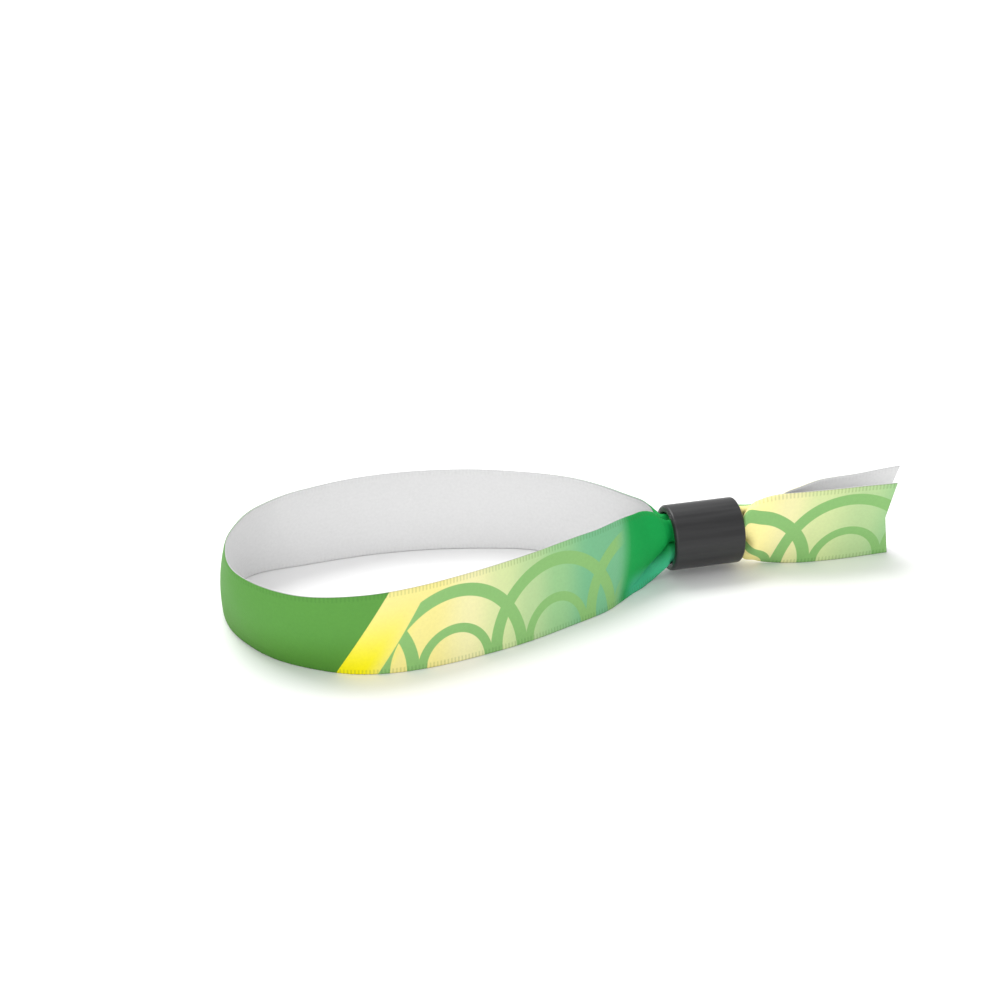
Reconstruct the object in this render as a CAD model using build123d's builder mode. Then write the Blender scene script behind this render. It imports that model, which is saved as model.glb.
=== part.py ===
"""Woven fabric wristband, closed by a moulded barrel clasp, as it lies on a table. Sizes in millimetres.

The strap is one length of flat ribbon. Both of its ends run through the barrel side by side, pleated
lengthways, so it makes an open loop on one side of the barrel and two free tails on the other.
While the model is made, the barrel's axis is the X axis, with the tails on its +X side and the loop on
its -X side, and the front pass of the ribbon is on the -Y side. At the end the finished pieces are
moved, so that the origin is at the bottom centre of the whole.
"""
from build123d import *
from math import cos, radians, sin, tan
import os

# Ribbon
strap_width = 15.0
strap_wall = 1.0
press_flat = 0.15          # how much of the lower edge is pressed flat where it rests

# Barrel clasp, whose bore is worked out below from the two passes of the ribbon
barrel_length = 12.5
barrel_wall = 1.2
rim_round = 0.45
bore_round = 0.3
clasp_drop = 0.55          # how far the barrel hangs below the middle of the ribbon

# Fit of the two pleated passes in the bore
strap_clearance = 0.15     # between the ribbon and the bore's wall
pass_gap = 0.2             # between the two passes
loop_side_roll = -14.0     # degrees that the pair of passes is turned where it enters the barrel
tail_side_roll = 13.0      # the same where it leaves

# Loop and tails, measured from the barrel's mouths
loop_reach = 76.3
loop_breadth = 45.4
front_tail = 27.2
back_tail = 30.6
notch_depth = 1.0          # of the swallow-tail cut at both ends

mouth = barrel_length / 2
axis_height = strap_width / 2 - press_flat - clasp_drop
neck_length = strap_width  # the stretch past a mouth where the pleats open out

# Lengthways pleats, from the lower edge of the ribbon to the upper one.
# share: part of the ribbon's width. turn: degrees in the clasp, inwards if negative.
pleats = [
    # (name, share, turn)
    ("lower edge", 0.06, 0),
    ("lower lobe", 0.12, -158),
    ("lower leg", 0.02, 0),
    ("lower valley", 0.125, 172),
    ("deep leg", 0.10, 0),
    ("middle lobe", 0.15, -172),
    ("long leg", 0.10, 0),
    ("upper valley", 0.125, 172),
    ("upper leg", 0.02, 0),
    ("upper lobe", 0.12, -158),
    ("upper edge", 0.06, 0),
]
first_turn = -sum(turn for _, _, turn in pleats) / 2

# Stations along the ribbon, counted from a mouth of the barrel outwards.
# lean is the tilt in degrees, away from the barrel's axis if positive, and pleat is how far the pleats
# are closed, from 0 in the flat ribbon to 1 in the barrel.
# In the necks, along and out are shares of the ribbon's width: out is how far it is from its place in
# the barrel, away from the axis.
front_loop_neck = [
    # (along, out, lean, pleat)
    (0.04, -0.004, -14, 0.92),
    (0.122, 0.008, -14, 0.70),
    (0.27, 0.056, -14, 0.50),
    (0.447, 0.165, -12, 0.33),
    (0.743, 0.408, -6, 0.10),
    (1.017, 0.595, -5, 0),
]
back_loop_neck = [
    # (along, out, lean, pleat)
    (0.04, 0.005, 14, 0.92),
    (0.122, 0.050, 14, 0.70),
    (0.27, 0.181, 10, 0.52),
    (0.447, 0.362, 5, 0.38),
    (0.687, 0.604, 0, 0.22),
    (0.967, 0.831, -3, 0.08),
]
front_tail_neck = [
    # (along, out, lean, pleat)
    (0.036, 0.005, 13, 0.92),
    (0.127, 0.014, 13, 0.75),
    (0.236, 0.044, 13, 0.55),
    (0.363, 0.074, 13, 0.35),
    (0.58, 0.110, 12.5, 0.12),
    (0.87, 0.138, 12.5, 0),
]
back_tail_neck = [
    # (along, out, lean, pleat)
    (0.041, -0.002, -13, 0.92),
    (0.133, -0.017, -13, 0.75),
    (0.245, -0.071, -13, 0.55),
    (0.388, -0.138, -13, 0.35),
    (0.612, -0.192, -12, 0.12),
    (0.979, -0.174, -8, 0),
]
# In the flat loop, along is a share of the reach past the neck, and out is a share of half its breadth.
front_branch = [
    # (along, out, lean)
    (0.079, 0.542, -6),
    (0.228, 0.738, -5.5),
    (0.390, 0.903, -3),
    (0.552, 1.017, 1),
    (0.720, 1.026, 7.6),
    (0.882, 0.796, 14.9),
    (0.984, 0.365, 13),
    (1.0, -0.141, 1),
]
back_branch = [
    # (along, out, lean)
    (0.079, 0.731, -4),
    (0.228, 0.888, -1),
    (0.390, 0.961, -0.6),
    (0.552, 0.968, -2),
    (0.714, 0.903, -7),
    (0.857, 0.785, -14.5),
    (0.953, 0.440, -10),
]
# In the flat tails, along is a share of the length past the neck, and out is one of the ribbon's width.
front_tail_end = [
    # (along, out, lean)
    (0.375, 0.174, 12.5),
    (1.0, 0.174, 14),
]
back_tail_end = [
    # (along, out, lean)
    (0.372, -0.144, -5),
    (0.706, -0.114, -3),
    (1.0, -0.089, -2),
]
bore_steps = 4             # stretches between the sections inside the barrel


def section_runs(pleat):
    """Length and turn in radians of each run of the ribbon's section, flat at pleat 0, in the clasp at 1."""
    return [(strap_width * share, radians(turn * pleat)) for _, share, turn in pleats]


def middle_line(runs, start):
    """Ends of the runs along the ribbon's middle line, as (outwards, up, angle from up)."""
    out, up, angle = 0.0, 0.0, start
    ends = [(out, up, angle)]
    for length, turn in runs:
        chord = 2 * length / turn * sin(turn / 2) if turn else length
        out += chord * sin(angle + turn / 2)
        up += chord * cos(angle + turn / 2)
        angle += turn
        ends.append((out, up, angle))
    return ends


def line_centre(runs, ends):
    """Centre of the middle line, taken from the chords of its runs."""
    out = sum(length * (a[0] + b[0]) / 2 for (length, _), a, b in zip(runs, ends, ends[1:]))
    up = sum(length * (a[1] + b[1]) / 2 for (length, _), a, b in zip(runs, ends, ends[1:]))
    total = sum(length for length, _ in runs)
    return out / total, up / total


def clasp_fit():
    """For a pleated pass in the bore: its centre's distance from the bore's axis, and its farthest reach."""
    runs = section_runs(1)
    ends = middle_line(runs, radians(first_turn))
    centre_out, centre_up = line_centre(runs, ends)
    points = [(out - centre_out, up - centre_up) for out, up, _ in ends]
    # The bulge of a bend is at the middle of its arc
    for (length, turn), (out, up, angle) in zip(runs, ends):
        if turn:
            half_chord = 2 * length / turn * sin(turn / 4)
            points.append((
                out + half_chord * sin(angle + turn / 4) - centre_out,
                up + half_chord * cos(angle + turn / 4) - centre_up,
            ))
    offset = pass_gap / 2 + strap_wall / 2 - min(out for out, _ in points)
    return offset, max(((out + offset)**2 + up**2)**0.5 for out, up in points)


pass_offset, pass_reach = clasp_fit()
barrel_bore = 2 * (pass_reach + strap_wall / 2 + strap_clearance)
barrel_radius = barrel_bore / 2 + barrel_wall


def ribbon_section(plane, lean, pleat):
    """The ribbon's section: two sides of legs and bends with a cut edge at each end."""
    runs = section_runs(pleat)
    ends = middle_line(runs, radians(first_turn * pleat + lean))
    centre_out, centre_up = line_centre(runs, ends)
    # It rests on the table, or is held up by the clasp where it is narrow
    resting = centre_up - min(up for _, up, _ in ends) - press_flat
    held = axis_height - pass_offset * sin(radians(lean)) * pleat
    lift = max(resting, held) - centre_up

    def side_point(end, side):
        out, up, angle = end
        return out - centre_out + side * cos(angle), up + lift - side * sin(angle)

    with BuildSketch(plane) as sketch:
        with BuildLine():
            for side in (strap_wall / 2, -strap_wall / 2):
                for (length, turn), before, after in zip(runs, ends, ends[1:]):
                    start, end = side_point(before, side), side_point(after, side)
                    handle = 4 / 3 * tan(turn / 4) * (length / turn - side) if turn else length / 3
                    Bezier(
                        start,
                        (start[0] + handle * sin(before[2]), start[1] + handle * cos(before[2])),
                        (end[0] - handle * sin(after[2]), end[1] - handle * cos(after[2])),
                        end,
                    )
            for end in (ends[0], ends[-1]):
                Line(side_point(end, strap_wall / 2), side_point(end, -strap_wall / 2))
        make_face()
    return sketch.sketch


def ribbon_plane(point, travel):
    """Upright plane across the ribbon, with its X axis pointing out of the loop."""
    return Plane(origin=point, x_dir=(-travel.Y, travel.X, 0), z_dir=travel)


def mouth_point(heading, side):
    """Plan point where a pass crosses a mouth. heading: 1 at the tails, -1 at the loop. side: -1 in front."""
    roll = tail_side_roll if heading > 0 else loop_side_roll
    return Vector(heading * mouth, side * pass_offset * cos(radians(roll)), 0)


def branch_rows(heading, side, neck, free, free_length, free_breadth):
    """Plan point, lean and pleat at each station of a branch, from its mouth outwards."""
    start = mouth_point(heading, side)
    steps = [(strap_width * along, strap_width * out, lean, pleat) for along, out, lean, pleat in neck]
    steps += [(neck_length + free_length * along, free_breadth * out, lean, 0) for along, out, lean in free]
    return [(start + Vector(heading * x, side * y, 0), lean, pleat) for x, y, lean, pleat in steps]


def bore_sections(heading, side):
    """Sections of a pass inside the barrel, where the pair of passes twists evenly towards heading."""
    start_roll, end_roll = (loop_side_roll, tail_side_roll) if heading > 0 else (tail_side_roll, loop_side_roll)
    sections = []
    for step in range(bore_steps + 1):
        share = step / bore_steps
        roll = start_roll + share * (end_roll - start_roll)
        point = (heading * mouth * (2 * share - 1), side * pass_offset * cos(radians(roll)), 0)
        sections.append(ribbon_section(ribbon_plane(point, Vector(heading, 0, 0)), -side * roll, 1))
    return sections


def route_sections(rows, before, after, direction=1):
    """Sections at the stations of a smooth plan route, which may run against the ribbon's direction."""
    with BuildLine() as route:
        Spline([*before, *(point for point, _, _ in rows), *after])
    curve = route.edges()[0]
    return [
        ribbon_section(ribbon_plane(point, curve.tangent_at(point) * direction), lean, pleat)
        for point, lean, pleat in rows
    ]


def notch_profile(end_section):
    """Triangle of the swallow-tail cut, upright along a tail at its free end."""
    end = end_section.faces()[0]
    outwards = end.normal_at() if end.normal_at().X > 0 else -end.normal_at()
    foot = (end.center().X, end.center().Y, 0)
    with BuildSketch(Plane(origin=foot, x_dir=outwards, z_dir=(outwards.Y, -outwards.X, 0))) as sketch:
        with BuildLine():
            Polyline(
                (-notch_depth, strap_width / 2),
                (notch_depth, -strap_width / 2),
                (notch_depth, 1.5 * strap_width),
                close=True,
            )
        make_face()
    return sketch.sketch


# The ribbon runs from the front tail's end through the barrel, round the loop and through the barrel again
loop_past_neck = loop_reach - neck_length
half_breadth = loop_breadth / 2 - pass_offset * cos(radians(loop_side_roll))
front_loop = branch_rows(-1, -1, front_loop_neck, front_branch, loop_past_neck, half_breadth)
back_loop = branch_rows(-1, 1, back_loop_neck, back_branch, loop_past_neck, half_breadth)
front_end = branch_rows(1, -1, front_tail_neck, front_tail_end, front_tail - neck_length, strap_width)
back_end = branch_rows(1, 1, back_tail_neck, back_tail_end, back_tail - neck_length, strap_width)

front_tail_part = route_sections(front_end, [mouth_point(1, -1)], [], -1)
loop_part = route_sections([*front_loop, *reversed(back_loop)], [mouth_point(-1, -1)], [mouth_point(-1, 1)])
back_tail_part = route_sections(back_end, [mouth_point(1, 1)], [])

with BuildPart() as strap:
    loft(sections=[
        *reversed(front_tail_part),
        *bore_sections(-1, -1),
        *loop_part,
        *bore_sections(1, 1),
        *back_tail_part,
    ])
    # The lower edge is pressed flat on the table
    split(bisect_by=Plane.XY, keep=Keep.TOP)
    for end_section in (front_tail_part[-1], back_tail_part[-1]):
        extrude(notch_profile(end_section), amount=2.6 * strap_wall, both=True, mode=Mode.SUBTRACT)

with BuildPart() as barrel_clasp:
    with BuildSketch(Plane.YZ.offset(-mouth)):
        with Locations((0, axis_height)):
            Circle(barrel_radius)
            Circle(barrel_bore / 2, mode=Mode.SUBTRACT)
    extrude(amount=barrel_length)
    rims = barrel_clasp.edges().filter_by(GeomType.CIRCLE)
    fillet(rims.filter_by(lambda rim: rim.radius > barrel_bore / 2), radius=rim_round)
    rims = barrel_clasp.edges().filter_by(GeomType.CIRCLE)
    fillet(rims.filter_by(lambda rim: rim.radius == barrel_bore / 2), radius=bore_round)

whole = Compound([strap.part, barrel_clasp.part]).bounding_box()
to_origin = Location((-whole.center().X, -whole.center().Y, -whole.min.Z))
strap.part.move(to_origin)
barrel_clasp.part.move(to_origin)

strap.part.label = "strap"
barrel_clasp.part.label = "barrel_clasp"
os.makedirs("parts", exist_ok=True)
export_step(strap.part, "parts/strap.step")
export_step(barrel_clasp.part, "parts/barrel_clasp.step")
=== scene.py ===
"""Looks of the woven wristband: a printed satin ribbon, pleated through a moulded barrel clasp.

The ribbon's route is in millimetres, in a frame with the barrel's axis as its X axis, the table at height 0
and the loop on the -X side. It follows the part's route, as thinner cloth that closes up into the barrel with
its own folds. A point of the cloth is given by along, the distance from where the front pass leaves the
barrel for the loop, which grows round the loop to the back tail and is negative through the barrel to the
front tail, and by across, the distance from the lower edge.
"""
import bpy
import numpy as np
from math import cos, pi, radians
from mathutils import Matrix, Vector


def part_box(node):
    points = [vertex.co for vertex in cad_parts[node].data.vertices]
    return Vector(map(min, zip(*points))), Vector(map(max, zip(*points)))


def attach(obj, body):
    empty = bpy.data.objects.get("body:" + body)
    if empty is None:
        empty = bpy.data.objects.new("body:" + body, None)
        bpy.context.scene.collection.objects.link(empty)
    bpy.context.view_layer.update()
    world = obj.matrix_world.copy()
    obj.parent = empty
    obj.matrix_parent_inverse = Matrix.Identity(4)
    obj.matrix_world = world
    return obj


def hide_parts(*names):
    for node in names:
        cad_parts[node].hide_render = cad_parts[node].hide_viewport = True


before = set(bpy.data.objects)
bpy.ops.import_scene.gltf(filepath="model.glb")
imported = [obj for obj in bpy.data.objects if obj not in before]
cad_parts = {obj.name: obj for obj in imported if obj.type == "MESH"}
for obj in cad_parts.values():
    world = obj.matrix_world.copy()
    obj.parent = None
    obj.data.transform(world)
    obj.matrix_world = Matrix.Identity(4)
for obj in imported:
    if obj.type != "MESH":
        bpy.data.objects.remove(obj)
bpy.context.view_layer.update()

MM = 0.001

# Barrel clasp, as it stands in the frame
barrel_low, barrel_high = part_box("barrel_clasp")
barrel_centre = (barrel_low + barrel_high) / 2
barrel_length = (barrel_high.x - barrel_low.x) / MM
axis_height = barrel_centre.z / MM
mouth = barrel_length / 2

# Ribbon
ribbon_width = 15.0
ribbon_thickness = 0.3
pass_gap = 0.12            # between the two passes in the barrel
pass_offset = 1.6          # from the barrel's axis, from which the flat cloth is counted
held_offset = 2.2          # of a pass's centre from the barrel's axis
sag = 0.8                  # how far below the axis the cloth's centre would hang once it is flat
lift_round = 1.2           # height over which the cloth's lower edge leaves the table
crease_drop = 0.25         # of a pass's centre, where its crease turns as far as its bow
loop_side_roll = -14.0
tail_side_roll = 13.0
loop_reach = 76.3
loop_breadth = 45.4
front_tail = 27.2
back_tail = 30.6
neck_length = ribbon_width  # from a mouth to where the cloth is nearly flat
route_steps = 8001         # fine steps along the route, where its length is measured
section_steps = 601        # fine steps across the ribbon, where its section is worked out

# Selvedges and mesh
selvedge = 1.1             # height of the band of ticks along each edge
selvedge_swell = 0.03      # how far each face stands out there
swell_full = 0.75          # share of the selvedge, from the edge, where it stands out in full
edge_round = 0.09          # height of the rounded edge
column_pitch = 0.25
selvedge_rows = 5
middle_rows = 30
cut_stretch = 7.0          # length over which the cloth's columns close up to the cut ends

# How far each end is cut in, by the share of the width from the lower edge
front_cut = [
    # (across, cut)
    (0.0, 0.0),
    (0.52, 1.4),
    (1.0, 0.2),
]
back_cut = [
    # (across, cut)
    (0.0, 3.2),
    (0.5, 3.7),
    (1.0, 0.7),
]

# How the cloth closes up on its way into the barrel. Each turn is in degrees, for the bow and edges at bow 1.
bow_turn = 220             # of the whole width, so that the middle stands outwards
edge_turn = 150            # more, in each curled edge
edge_share = (0.02, 0.14)  # where an edge curls, as shares of the width
fold_share = 0.07          # width of the crease at the bottom of a fold

# Stations along the ribbon, counted from just past a mouth of the barrel outwards.
# lean is the tilt in degrees, away from the barrel's axis if positive. bow is 0 in flat cloth and 1 in the
# barrel. fold is the angle in degrees of one lengthways crease, and place is how high it lies.
# In the necks, along, out and place are shares of the ribbon's width: out is how far the cloth is from its
# place in the barrel, away from the axis.
front_loop_neck = [
    # (along, out, lean, bow, fold, place)
    (0.03, 0.01, -14, 0.78, 210, 0.43),
    (0.10, 0.03, -17, 0.44, 180, 0.33),
    (0.19, 0.08, -18, 0.25, 130, 0.21),
    (0.31, 0.16, -18, 0.18, 90, 0.14),
    (0.49, 0.29, -14, 0.12, 60, 0.08),
    (0.75, 0.45, -8, 0.04, 20, 0.04),
    (1.01, 0.60, -5, 0.00, 0, 0.04),
]
back_loop_neck = [
    # (along, out, lean, bow, fold, place)
    (0.04, 0.01, 26, 0.84, 0, 0.45),
    (0.12, 0.04, 40, 0.60, 0, 0.45),
    (0.27, 0.12, 30, 0.42, 0, 0.45),
    (0.45, 0.27, 16, 0.31, 0, 0.45),
    (0.69, 0.50, 4, 0.19, 0, 0.45),
    (0.97, 0.73, -2, 0.07, 0, 0.45),
]
front_tail_neck = [
    # (along, out, lean, bow, fold, place)
    (0.04, 0.01, 13, 0.84, 150, 0.45),
    (0.10, 0.03, 13, 0.64, 50, 0.45),
    (0.18, 0.06, 13, 0.47, 0, 0.45),
    (0.36, 0.09, 13, 0.27, 0, 0.45),
    (0.58, 0.12, 13, 0.14, 0, 0.45),
    (0.87, 0.14, 12.5, 0.04, 0, 0.45),
]
back_tail_neck = [
    # (along, out, lean, bow, fold, place)
    (0.04, 0.00, -13, 0.96, 0, 0.45),
    (0.13, -0.03, -12, 0.86, 0, 0.45),
    (0.24, -0.08, -11, 0.70, 0, 0.45),
    (0.39, -0.14, -11, 0.48, 0, 0.45),
    (0.61, -0.19, -11, 0.21, 0, 0.45),
    (0.98, -0.17, -8, 0.04, 0, 0.45),
]
# In the flat loop, along is a share of the reach past the neck, and out is a share of half its breadth,
# counted from pass_offset.
front_branch = [
    # (along, out, lean, bow)
    (0.079, 0.542, -6, 0),
    (0.228, 0.738, -5.5, 0),
    (0.390, 0.903, -3, 0),
    (0.552, 1.017, 1, 0),
    (0.720, 1.026, 7.6, 0.03),
    (0.882, 0.796, 14.9, 0.08),
    (0.984, 0.365, 13, 0.12),
    (1.0, -0.141, 1, 0.13),
]
back_branch = [
    # (along, out, lean, bow)
    (0.08, 0.70, -4, 0),
    (0.23, 0.87, -1, 0),
    (0.390, 0.961, -0.6, 0),
    (0.552, 0.968, -2, 0),
    (0.714, 0.903, -7, 0.03),
    (0.857, 0.785, -14.5, 0.08),
    (0.953, 0.440, -10, 0.12),
]
# In the flat tails, along is a share of the length past the neck, and out is one of the ribbon's width,
# counted from pass_offset.
front_tail_end = [
    # (along, out, lean, bow)
    (0.375, 0.174, 12.5, 0),
    (1.0, 0.174, 14, 0),
]
back_tail_end = [
    # (along, out, lean, bow)
    (0.372, -0.144, -5, 0),
    (0.706, -0.114, -3, 0),
    (1.0, -0.089, -2, 0),
]
front_crease = (235, 0.45)  # fold and place in the barrel
no_crease = (0, 0.45)
held_shares = (0.6, 0.82, 1.03)  # where a pass is held straight, from the barrel's middle past its mouth

# Camera
view_azimuth = -16.8       # degrees round from looking along +Y
view_elevation = 23.5
view_place = (-183.61, -490.07, 240.11)  # from the point of the table below the barrel's middle
view_focal_share = 3.36    # focal length as a share of the picture's width
sensor_width = 36.0


def natural_spline(knots, values, places):
    """Values and slopes, at the places, of the natural cubic spline through the values at the knots."""
    gaps = np.diff(knots)[:, None]
    slopes = np.diff(values, axis=0) / gaps
    system = np.eye(len(knots))
    change = np.zeros_like(values)
    for i in range(1, len(knots) - 1):
        system[i, i - 1:i + 2] = gaps[i - 1, 0], 2 * (gaps[i - 1, 0] + gaps[i, 0]), gaps[i, 0]
        change[i] = 6 * (slopes[i] - slopes[i - 1])
    bend = np.linalg.solve(system, change)
    span = np.clip(np.searchsorted(knots, places) - 1, 0, len(gaps) - 1)
    past, gap = (places - knots[span])[:, None], gaps[span]
    first, growth = bend[span], (bend[span + 1] - bend[span]) / gap
    start = slopes[span] - gap / 6 * (2 * bend[span] + bend[span + 1])
    value = values[span] + past * (start + past * (first / 2 + past * growth / 6))
    return value, start + past * (first + past * growth / 2)


def steady_curve(knots, values, places):
    """Smooth curve through the values at the knots that doesn't pass them between two knots."""
    gaps = np.diff(knots)
    slopes = np.diff(values) / gaps
    product = slopes[1:] * slopes[:-1]
    total = slopes[1:] + slopes[:-1]
    inner = np.where(product > 0, 2 * product / np.where(total == 0, 1, total), 0)
    slope = np.concatenate([[0], inner, [0]])
    span = np.clip(np.searchsorted(knots, places) - 1, 0, len(gaps) - 1)
    gap = gaps[span]
    t = (places - knots[span]) / gap
    rise = values[span + 1] - values[span]
    lift = t * t * (3 - 2 * t)
    bend = t * (1 - t) * ((1 - t) * slope[span] - t * slope[span + 1]) * gap
    return values[span] + rise * lift + bend


def ease(start, end, value):
    """0 before start, 1 after end, smooth between."""
    t = np.clip((value - start) / (end - start), 0, 1)
    return t * t * (3 - 2 * t)


def soft_max(first, second, width):
    """The larger of two values, rounded where they differ by less than width."""
    near = np.clip(1 - np.abs(first - second) / width, 0, 1)
    return np.maximum(first, second) + near ** 2 * width / 4


# Fine steps across the ribbon, as shares of its width
fine_across = np.linspace(0, 1, section_steps)


def sections(lean, bow, fold, place):
    """Outward and upward distance from the ribbon's centre, and angle, at the fine steps of each section."""
    lean, bow, fold, place = (np.asarray(column, float)[:, None] for column in (lean, bow, fold, place))
    curve = bow_turn * (0.5 - fine_across)
    curls = 1 - ease(*edge_share, fine_across) - ease(1 - edge_share[1], 1 - edge_share[0], fine_across)
    # The crease turns outwards what the cloth on both sides of it has turned inwards
    below = np.clip(fine_across / place, 0, 1)
    above = np.clip((fine_across - place) / (1 - place), 0, 1)
    crease = ease(place - fold_share / 2, place + fold_share / 2, fine_across) - (below + above) / 2
    angle = np.radians(lean + bow * curve + bow ** 2 * edge_turn * curls + fold * crease)
    step = ribbon_width * fine_across[1]
    middle = (angle[:, 1:] + angle[:, :-1]) / 2
    start = np.zeros((len(lean), 1))
    out = np.hstack([start, np.cumsum(np.sin(middle) * step, axis=1)])
    up = np.hstack([start, np.cumsum(np.cos(middle) * step, axis=1)])
    return out - out.mean(axis=1, keepdims=True), up - up.mean(axis=1, keepdims=True), angle


def mouth_rows(heading, side):
    """Rows of a pass from inside the barrel to just past its mouth.

    heading is 1 at the tails and -1 at the loop. side is -1 for the front pass and 1 for the back one.
    """
    roll = tail_side_roll if heading > 0 else loop_side_roll
    fold, place = front_crease if side < 0 else no_crease
    out, _, _ = sections([0], [1], [fold], [place])
    offset = (pass_gap + ribbon_thickness) / 2 + selvedge_swell - out.min()
    shape = (side * offset * cos(radians(roll)), -side * roll, 1, fold, place)
    return [(heading * mouth * share, *shape) for share in held_shares]


def branch_rows(heading, side, neck, free, free_length, free_breadth):
    """Plan x and y, lean, bow, fold and its place at each station of a branch, from its mouth outwards."""
    x, y = mouth_rows(heading, side)[-1][:2]
    rows = [(x + heading * ribbon_width * along, y + side * ribbon_width * out, *shape)
            for along, out, *shape in neck]
    for along, out, lean, bow in free:
        station = heading * (mouth + neck_length + free_length * along)
        rows.append((station, side * (pass_offset + free_breadth * out), lean, bow, *no_crease))
    return rows


def route_rows():
    """Rows of the whole ribbon in three parts, split at the front pass and at the back pass."""
    half_breadth = loop_breadth / 2 - pass_offset
    past_neck = loop_reach - neck_length
    front_end = branch_rows(1, -1, front_tail_neck, front_tail_end, front_tail - neck_length, ribbon_width)
    front_loop = branch_rows(-1, -1, front_loop_neck, front_branch, past_neck, half_breadth)
    back_loop = branch_rows(-1, 1, back_loop_neck, back_branch, past_neck, half_breadth)
    back_end = branch_rows(1, 1, back_tail_neck, back_tail_end, back_tail - neck_length, ribbon_width)
    tail_side = [*reversed(front_end), *reversed(mouth_rows(1, -1)), *mouth_rows(-1, -1)[:-1]]
    loop_side = [*mouth_rows(-1, -1)[-1:], *front_loop, *reversed(back_loop), *reversed(mouth_rows(-1, 1))]
    return tail_side, loop_side, [*mouth_rows(1, 1), *back_end]


def route_curve():
    """Plan point, travel, shape columns and distance along, at even steps of the whole ribbon."""
    parts = route_rows()
    rows = np.array([row for part in parts for row in part], float)
    knots = np.concatenate([[0], np.cumsum(np.hypot(*np.diff(rows[:, :2], axis=0).T))])
    fine = np.linspace(0, knots[-1], route_steps)
    plan, _ = natural_spline(knots, rows[:, :2], fine)
    length = np.concatenate([[0], np.cumsum(np.hypot(*np.diff(plan, axis=0).T))])
    loop_start = np.interp(knots[len(parts[0])], fine, length)
    columns = round(length[-1] / column_pitch) + 1
    place = np.interp(np.linspace(0, length[-1], columns), length, fine)
    plan, slope = natural_spline(knots, rows[:, :2], place)
    travel = slope / np.linalg.norm(slope, axis=1, keepdims=True)
    shape = [steady_curve(knots, rows[:, column], place) for column in range(2, 6)]
    along = np.linspace(0, length[-1], columns) - loop_start
    return plan, travel, shape, along


def row_places():
    """Distances across the ribbon of the mesh's rows, closer in the selvedges."""
    low = np.linspace(edge_round, selvedge, selvedge_rows)
    middle = np.linspace(selvedge, ribbon_width - selvedge, middle_rows + 2)[1:-1]
    return np.concatenate([low, middle, ribbon_width - low[::-1]])


def ribbon_surface():
    """Corners, distances along and across, and outward share, of the rows round each section.

    Round a section come the lower edge, the outer face upwards, the upper edge and the inner face downwards.
    """
    plan, travel, shape, along = route_curve()
    out, up, angle = sections(*shape)
    lean, bow, fold = shape[:3]
    half = ribbon_thickness / 2
    lowest = (up - half * np.abs(np.sin(angle))).min(axis=1)
    raised = -bow * held_offset * np.sin(np.radians(lean)) - crease_drop * fold / bow_turn - sag * (1 - bow)
    lift = soft_max(-lowest, axis_height + raised, lift_round)
    rows = row_places()
    face = np.concatenate([[0], rows, [ribbon_width], rows[::-1]])
    side = np.concatenate([[0], np.ones(len(rows)), [0], -np.ones(len(rows))])
    in_selvedge = 1 - ease(selvedge * swell_full, selvedge, np.minimum(face, ribbon_width - face))
    proud = side * (half + selvedge_swell * in_selvedge)

    def at_rows(values):
        return np.array([np.interp(face / ribbon_width, fine_across, line) for line in values])

    angle = at_rows(angle)
    outwards = at_rows(out) + proud * np.cos(angle)
    height = at_rows(up) + lift[:, None] - proud * np.sin(angle)
    points = np.stack([
        plan[:, :1] - travel[:, 1:] * outwards,
        plan[:, 1:] + travel[:, :1] * outwards,
        height,
    ], axis=2)
    # Both ends have a slanted swallow-tail cut
    at_front = np.interp(face / ribbon_width, *zip(*front_cut))
    at_back = np.interp(face / ribbon_width, *zip(*back_cut))
    near_front = np.clip(1 - (along - along[0]) / cut_stretch, 0, 1)[:, None]
    near_back = np.clip(1 - (along[-1] - along) / cut_stretch, 0, 1)[:, None]
    cut_along = along[:, None] + near_front * at_front - near_back * at_back
    for column in range(len(face)):
        for axis in range(3):
            points[:, column, axis] = np.interp(cut_along[:, column], along, points[:, column, axis])
    return points, cut_along, np.broadcast_to(face, cut_along.shape), np.broadcast_to(side, cut_along.shape)


def ribbon_mesh():
    """The ribbon as one closed thin mesh, with its places on the cloth kept as the attribute cloth."""
    points, along, across, side = ribbon_surface()
    columns, around = along.shape
    corner = np.arange(columns * around).reshape(columns, around)
    after = np.roll(corner, -1, axis=1)
    walls = np.stack([corner[:-1], after[:-1], after[1:], corner[1:]], axis=2).reshape(-1, 4)
    # Each cut end is closed between the two faces
    last = around // 2
    caps = []
    for column, flip in ((0, False), (columns - 1, True)):
        ring = corner[column]
        for i in range(1, last):
            j = around - i
            if i + 1 < last:
                cap = [ring[i], ring[j], ring[j - 1], ring[i + 1]]
            else:
                cap = [ring[i], ring[j], ring[last]]
            caps.append(cap[::-1] if flip else cap)
        first = [ring[0], ring[-1], ring[1]]
        caps.append(first[::-1] if flip else first)
    mesh = bpy.data.meshes.new("strap")
    place = np.array([barrel_centre.x, barrel_centre.y, 0])
    mesh.from_pydata((points.reshape(-1, 3) * MM + place).tolist(), [], walls.tolist() + caps)
    mesh.polygons.foreach_set("use_smooth", [True] * len(walls) + [False] * len(caps))
    cloth = mesh.attributes.new("cloth", "FLOAT_VECTOR", "POINT")
    cloth.data.foreach_set("vector", np.stack([along, across, side], axis=2).ravel())
    mesh.validate()
    mesh.update()
    return mesh


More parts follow.
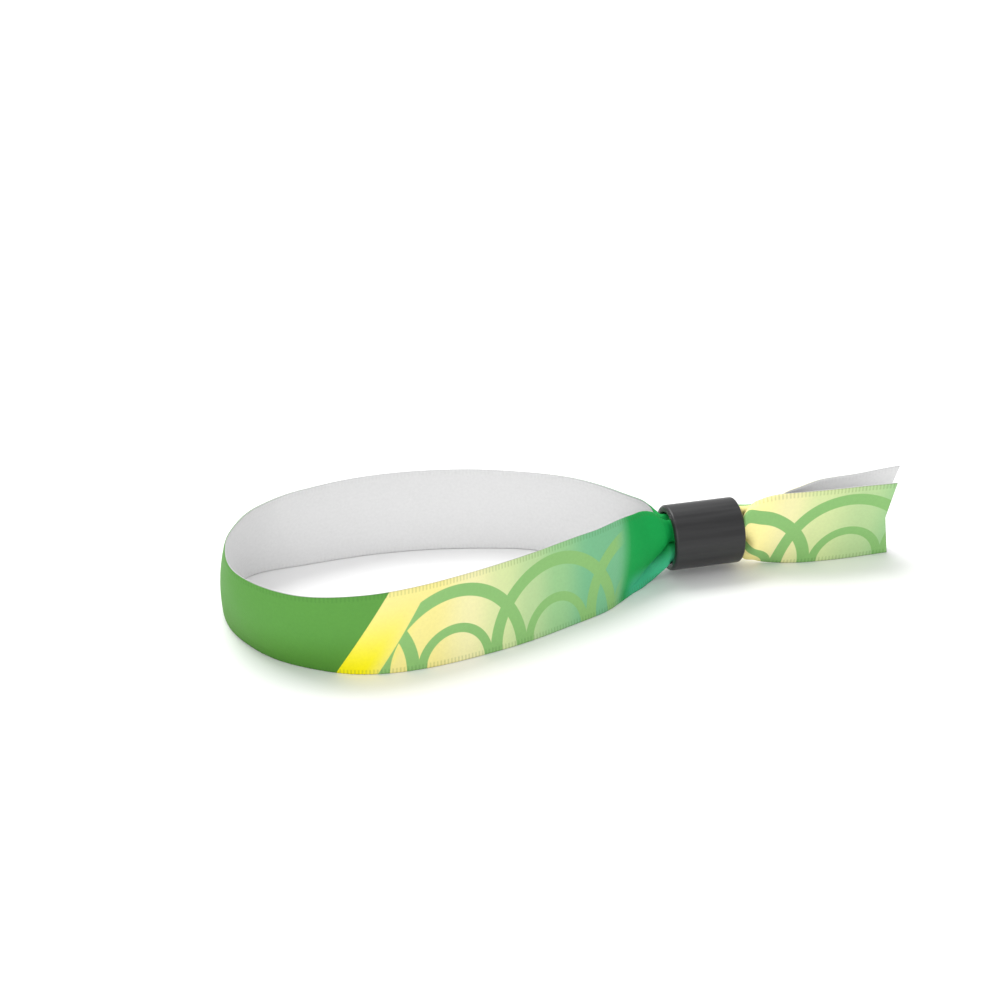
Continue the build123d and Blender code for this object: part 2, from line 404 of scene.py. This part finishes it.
class Shader:
    """A material, with short calls for the nodes that it is made of."""

    def __init__(self, name):
        self.material = bpy.data.materials.new(name)
        self.material.use_nodes = True
        self.tree = self.material.node_tree
        self.surface = self.tree.nodes["Principled BSDF"]

    def join(self, value, socket):
        """Links a socket's value to a socket, or sets a plain one."""
        if isinstance(value, bpy.types.NodeSocket):
            self.tree.links.new(value, socket)
        else:
            socket.default_value = value

    def math(self, operation, *values):
        node = self.tree.nodes.new("ShaderNodeMath")
        node.operation = operation
        for value, socket in zip(values, node.inputs):
            self.join(value, socket)
        return node.outputs[0]

    def blend(self, share, first, second):
        """Colour that goes from first to second as share goes from 0 to 1."""
        node = self.tree.nodes.new("ShaderNodeMix")
        node.data_type = "RGBA"
        colours = [socket for socket in node.inputs if socket.type == "RGBA"]
        self.join(share, node.inputs[0])
        for value, socket in zip((first, second), colours):
            self.join((*value, 1) if isinstance(value, tuple) else value, socket)
        return next(socket for socket in node.outputs if socket.type == "RGBA")

    def ease(self, start, end, value):
        """0 at start, 1 at end, smooth between."""
        node = self.tree.nodes.new("ShaderNodeMapRange")
        node.interpolation_type = "SMOOTHSTEP"
        for name, setting in (("Value", value), ("From Min", start), ("From Max", end)):
            self.join(setting, node.inputs[name])
        return node.outputs["Result"]

    def gradient(self, value, start, end, stops):
        """Colour along value, from (place, colour) stops between start and end."""
        node = self.tree.nodes.new("ShaderNodeValToRGB")
        ramp = node.color_ramp
        ramp.interpolation = "EASE"
        for index, (place, colour) in enumerate(stops):
            share = (place - start) / (end - start)
            element = ramp.elements[index] if index < 2 else ramp.elements.new(share)
            element.position = share
            element.color = (*colour, 1)
        span = self.math("DIVIDE", self.math("SUBTRACT", value, start), end - start)
        self.join(span, node.inputs["Fac"])
        return node.outputs["Color"]

    def noise(self, scale, detail, place):
        node = self.tree.nodes.new("ShaderNodeTexNoise")
        for name, setting in (("Scale", scale), ("Detail", detail), ("Vector", place)):
            self.join(setting, node.inputs[name])
        return node.outputs["Fac"]

    def bump(self, height, strength, distance):
        node = self.tree.nodes.new("ShaderNodeBump")
        for name, setting in (("Height", height), ("Strength", strength), ("Distance", distance)):
            self.join(setting, node.inputs[name])
        self.join(node.outputs["Normal"], self.surface.inputs["Normal"])

    def set(self, **settings):
        for name, value in settings.items():
            self.join(value, self.surface.inputs[name.replace("_", " ")])


# Colours of the print, the ticks and the inner face, as linear values
field_green = (0.100, 0.305, 0.052)
field_low = (0.082, 0.255, 0.030)
line_green = (0.25, 0.49, 0.165)
tick_green = (0.05, 0.18, 0.03)
bright_yellow = (0.90, 0.81, 0.003)
warm_yellow = (0.98, 0.87, 0.36)
pale_yellow = (0.86, 0.77, 0.29)
cream = (0.83, 0.79, 0.42)
lime = (0.64, 0.73, 0.36)
pale_green = (0.46, 0.63, 0.31)
leaf_green = (0.31, 0.56, 0.26)
teal = (0.18, 0.47, 0.25)
deep_green = (0.001, 0.32, 0.060)
# Sea green of the lower lobe by the clasp: print colour made lighter as painted light
lit_sea_green = (0.05, 0.47, 0.24)
inner_white = (0.71, 0.71, 0.71)
tick_grey = (0.4, 0.4, 0.4)

# The run of colours along the ribbon, and the distances along between which it is laid out
print_start = -40.0
print_end = 240.0
print_slant = 0.1          # how much along changes with across in it
print_colours = [
    # (along, colour)
    (-40.0, leaf_green),
    (-34.0, pale_green),
    (-25.0, lime),
    (-20.0, cream),
    (-14.0, warm_yellow),
    (-7.0, warm_yellow),
    (-2.0, deep_green),
    (11.0, deep_green),
    (14.5, teal),
    (21.0, teal),
    (28.0, leaf_green),
    (34.0, pale_green),
    (40.0, lime),
    (46.0, cream),
    (53.0, pale_yellow),
    (140.0, pale_yellow),
    (150.0, cream),
    (157.0, lime),
    (164.0, pale_green),
    (171.0, leaf_green),
    (178.0, teal),
    (184.0, deep_green),
    (194.0, deep_green),
    (200.0, warm_yellow),
    (210.0, warm_yellow),
    (216.0, cream),
    (221.0, lime),
    (229.0, pale_green),
    (235.0, leaf_green),
]
field_start = 68.5         # along the lower edge, where the plain field begins
field_end = 138.0
stripe_slant = 0.59        # how much along changes with across at the field's slanted ends
stripe_width = 7.0
dark_front = 4.5           # along, at the middle of each dark end of the run of colours
dark_back = 189.0
dark_back_less = 2.0       # how much nearer to its middle the back one ends
arc_start = 8.0            # along, at the centre of one ring
arc_pitch = 20.0
arc_radius = 12.5
arc_line = 2.2
small_radius = 6.0
small_line = 1.6

# Where one part of the print gives way to the next: it shows from the first distance, in full from the second
ink_blur = 0.06            # half of the width over which ink ends
stripe_fade = (9.5, 4.0)   # past the field
stripe_stop = 0.15         # over which the rings begin past the stripe
stripe_paling = (0.5, ribbon_width)  # across
field_darkening = (9.0, 0.5)  # across
lit_sea_along = (8.0, 4.0)     # from the middle of a dark end
lit_sea_across = (5.5, 2.0)
rings_along = (8.0, 11.0)  # from the middle of a dark end

# Yarn
tick_pitch = 0.63
tick_rise = (0.08, 0.26)   # from the middle of the gap between two ticks
tick_stop = 0.3            # over which the ticks end towards the middle of the ribbon
tick_share = 0.24          # of tick_green on the print
inner_tick_share = 0.06    # of tick_grey on the inner face
print_side = (0.25, 0.45)  # outward share, which is -1 on the inner face and 1 on the outer one
edge_side = (0.95, 0.5)    # the same, of the narrow edges
edge_shade_share = 0.35           # share of the colour's lightness taken off at the narrow edges, as painted shade
weft_pitch = 0.32
warp_pitch = 0.28
yarn_scale = 1.9           # of the noise that tells the yarns apart
yarn_range = (0.94, 0.12)  # least lightness, and what the lightest yarn adds
yarn_relief = 1.5          # against the weave's own
tick_relief = 1.5
weave_strength = 0.25
weave_depth = 0.00004      # in metres, as the clasp's grain

# Clasp
clasp_dark = (0.018, 0.018, 0.019)
clasp_light = (0.026, 0.026, 0.027)
streak_stretch = (0.06, 1.0, 1.0)  # the tube's axis is X
streak_scale = 700.0
streak_range = (0.35, 0.65)  # of the noise
skin_roughness = (0.28, 0.12)  # of a dark streak, and what a light one adds
grain_scale = 9000.0
grain_strength = 0.2
grain_depth = 0.00003

# Table and light, in metres
floor_width = 4.0
floor_grey = (0.90, 0.90, 0.90, 1)
sky_strength = 0.74
lights = [
    # (name, place, size, watts)
    ("overhead", (-0.15, 0.38, 0.73), 0.6, 6.0),
    ("front", (-0.35, -0.8, 0.5), 0.8, 3.2),
]


def arc_lines(shader, along, across, radius, line):
    """Share of ink in a row of overlapping circles whose centres are on the lower edge."""
    ink = None
    for offset in (0, arc_pitch):
        centre = arc_start + offset
        wrapped = shader.math("WRAP", along, centre - arc_pitch, centre + arc_pitch)
        from_centre = shader.math("SUBTRACT", wrapped, centre)
        distance = shader.math("SQRT", shader.math(
            "ADD", shader.math("POWER", from_centre, 2.0), shader.math("POWER", across, 2.0)))
        off = shader.math("ABSOLUTE", shader.math("SUBTRACT", distance, radius))
        drawn = shader.ease(line / 2 + ink_blur, line / 2 - ink_blur, off)
        ink = drawn if ink is None else shader.math("MAXIMUM", ink, drawn)
    return ink


def ribbon_material():
    """Printed satin outside, plain off-white inside, with ribbed selvedges and a fine weave."""
    shader = Shader("printed_ribbon")
    place = shader.tree.nodes.new("ShaderNodeAttribute")
    place.attribute_name = "cloth"
    parts = shader.tree.nodes.new("ShaderNodeSeparateXYZ")
    shader.join(place.outputs["Vector"], parts.inputs[0])
    along, across, side = parts.outputs

    # The gradient slants a little, as the stripe does
    slanted = shader.math("ADD", along, shader.math("MULTIPLY", across, print_slant))
    base = shader.gradient(slanted, print_start, print_end, print_colours)
    lines = shader.math(
        "MAXIMUM",
        arc_lines(shader, along, across, arc_radius, arc_line),
        arc_lines(shader, along, across, small_radius, small_line),
    )
    # A bright slanted stripe at each end of the plain field
    slant = shader.math("MULTIPLY", across, stripe_slant)
    from_start = shader.math("SUBTRACT", field_start, shader.math("ADD", along, slant))
    from_end = shader.math("SUBTRACT", shader.math("SUBTRACT", along, slant), field_end)
    past_field = shader.math("MAXIMUM", from_start, from_end)
    stripe = shader.blend(shader.ease(*stripe_paling, across), bright_yellow, pale_yellow)
    base = shader.blend(shader.ease(*stripe_fade, past_field), base, stripe)
    # The dark ends of the gradient turn to sea green at the lower edge, partly print and partly painted
    # light, made lighter where the lower lobe by the clasp catches the light, and have no lines, like the
    # stripes
    off_front = shader.math("ABSOLUTE", shader.math("SUBTRACT", slanted, dark_front))
    off_back = shader.math("ABSOLUTE", shader.math("SUBTRACT", slanted, dark_back))
    off_dark = shader.math("MINIMUM", off_front, shader.math("ADD", off_back, dark_back_less))
    # Share of the lighter sea green, which is partly painted light on the lower lobe
    low = shader.math("MULTIPLY", shader.ease(*lit_sea_along, off_dark), shader.ease(*lit_sea_across, across))
    base = shader.blend(low, base, lit_sea_green)
    past_stripe = shader.ease(stripe_width, stripe_width + stripe_stop, past_field)
    drawn = shader.math("MULTIPLY", shader.ease(*rings_along, off_dark), past_stripe)
    printed = shader.blend(shader.math("MULTIPLY", lines, drawn), base, line_green)
    field = shader.blend(shader.ease(*field_darkening, across), field_green, field_low)
    printed = shader.blend(shader.ease(ink_blur, -ink_blur, past_field), printed, field)

    # Ticks of the edge yarn show through in the selvedges
    to_edge = shader.math("MINIMUM", across, shader.math("SUBTRACT", ribbon_width, across))
    in_selvedge = shader.ease(selvedge, selvedge - tick_stop, to_edge)
    tick = shader.math("PINGPONG", along, tick_pitch / 2)
    tick = shader.math("MULTIPLY", shader.ease(*tick_rise, tick), in_selvedge)
    printed = shader.blend(shader.math("MULTIPLY", tick, tick_share), printed, tick_green)
    inner = shader.blend(shader.math("MULTIPLY", tick, inner_tick_share), inner_white, tick_grey)
    colour = shader.blend(shader.ease(*print_side, side), inner, printed)
    at_edge = shader.ease(*edge_side, shader.math("ABSOLUTE", side))

    # Weave: fine ribs across, and yarns that differ a little, with painted shade darkening the narrow edges
    yarn = shader.noise(yarn_scale, 3.0, place.outputs["Vector"])
    lightness = shader.math("ADD", yarn_range[0], shader.math("MULTIPLY", yarn, yarn_range[1]))
    # Painted shade: the narrow edges lose a share of the colour's lightness
    edge_shade = shader.math("MULTIPLY", lightness, shader.math("MULTIPLY", at_edge, edge_shade_share))
    lightness = shader.math("SUBTRACT", lightness, edge_shade)
    shade = shader.tree.nodes.new("ShaderNodeVectorMath")
    shade.operation = "SCALE"
    shader.join(colour, shade.inputs[0])
    shader.join(lightness, shade.inputs["Scale"])
    shader.set(Base_Color=shade.outputs[0], Roughness=0.65, Specular_IOR_Level=0.2)
    weft = shader.math("SINE", shader.math("MULTIPLY", along, 2 * pi / weft_pitch))
    warp = shader.math("SINE", shader.math("MULTIPLY", across, 2 * pi / warp_pitch))
    ribs = shader.math("MULTIPLY", weft, warp)
    weave = shader.math("ADD", ribs, shader.math("MULTIPLY", yarn, yarn_relief))
    weave = shader.math("ADD", weave, shader.math("MULTIPLY", tick, tick_relief))
    shader.bump(weave, weave_strength, weave_depth)
    return shader.material


def clasp_material():
    """Moulded dark grey plastic with a satin skin."""
    shader = Shader("clasp_plastic")
    place = shader.tree.nodes.new("ShaderNodeTexCoord").outputs["Object"]
    grain = shader.noise(grain_scale, 2.0, place)
    # Faint streaks run along the tube
    stretched = shader.tree.nodes.new("ShaderNodeVectorMath")
    stretched.operation = "MULTIPLY"
    shader.join(place, stretched.inputs[0])
    shader.join(streak_stretch, stretched.inputs[1])
    streaks = shader.ease(*streak_range, shader.noise(streak_scale, 3.0, stretched.outputs[0]))
    colour = shader.blend(streaks, clasp_dark, clasp_light)
    roughness = shader.math("ADD", skin_roughness[0], shader.math("MULTIPLY", streaks, skin_roughness[1]))
    shader.set(Base_Color=colour, Roughness=roughness, Specular_IOR_Level=0.35)
    shader.bump(grain, grain_strength, grain_depth)
    return shader.material


def floor_material():
    """Plain white table."""
    shader = Shader("white_table")
    shader.set(Base_Color=floor_grey, Roughness=0.9, Specular_IOR_Level=0.1)
    return shader.material


def add_strap():
    strap = bpy.data.objects.new("strap_ribbon", ribbon_mesh())
    bpy.context.collection.objects.link(strap)
    strap.data.materials.append(ribbon_material())
    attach(strap, "root")
    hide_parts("strap")


def dress_clasp():
    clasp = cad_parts["barrel_clasp"]
    clasp.data.materials.clear()
    clasp.data.materials.append(clasp_material())


def add_floor():
    mesh = bpy.data.meshes.new("table")
    half = floor_width / 2
    corners = [(-half, -half, 0), (half, -half, 0), (half, half, 0), (-half, half, 0)]
    mesh.from_pydata(corners, [], [(0, 1, 2, 3)])
    floor = bpy.data.objects.new("table", mesh)
    bpy.context.collection.objects.link(floor)
    mesh.materials.append(floor_material())


def add_light(name, place, size, watts):
    """Square area light at place, turned to the point of the table below the part."""
    light = bpy.data.lights.new(name, "AREA")
    light.size = size
    light.energy = watts
    lamp = bpy.data.objects.new(name, light)
    bpy.context.collection.objects.link(lamp)
    lamp.location = place
    lamp.rotation_euler = lamp.location.to_track_quat("Z", "Y").to_euler()


def add_lights():
    world = bpy.data.worlds.new("studio")
    bpy.context.scene.world = world
    world.use_nodes = True
    sky = world.node_tree.nodes["Background"].inputs
    sky["Color"].default_value = (1, 1, 1, 1)
    sky["Strength"].default_value = sky_strength
    for light in lights:
        add_light(*light)


def add_camera():
    camera = bpy.data.cameras.new("camera")
    camera.sensor_width = sensor_width
    camera.lens = view_focal_share * sensor_width
    camera.clip_end = 10
    eye = bpy.data.objects.new("camera", camera)
    bpy.context.collection.objects.link(eye)
    x, y, z = (value * MM for value in view_place)
    eye.location = (barrel_centre.x + x, barrel_centre.y + y, z)
    eye.rotation_euler = (radians(90 - view_elevation), 0, radians(view_azimuth))
    bpy.context.scene.camera = eye


bpy.context.scene.view_settings.view_transform = "Standard"
add_camera()
add_lights()
add_floor()
add_strap()
dress_clasp()
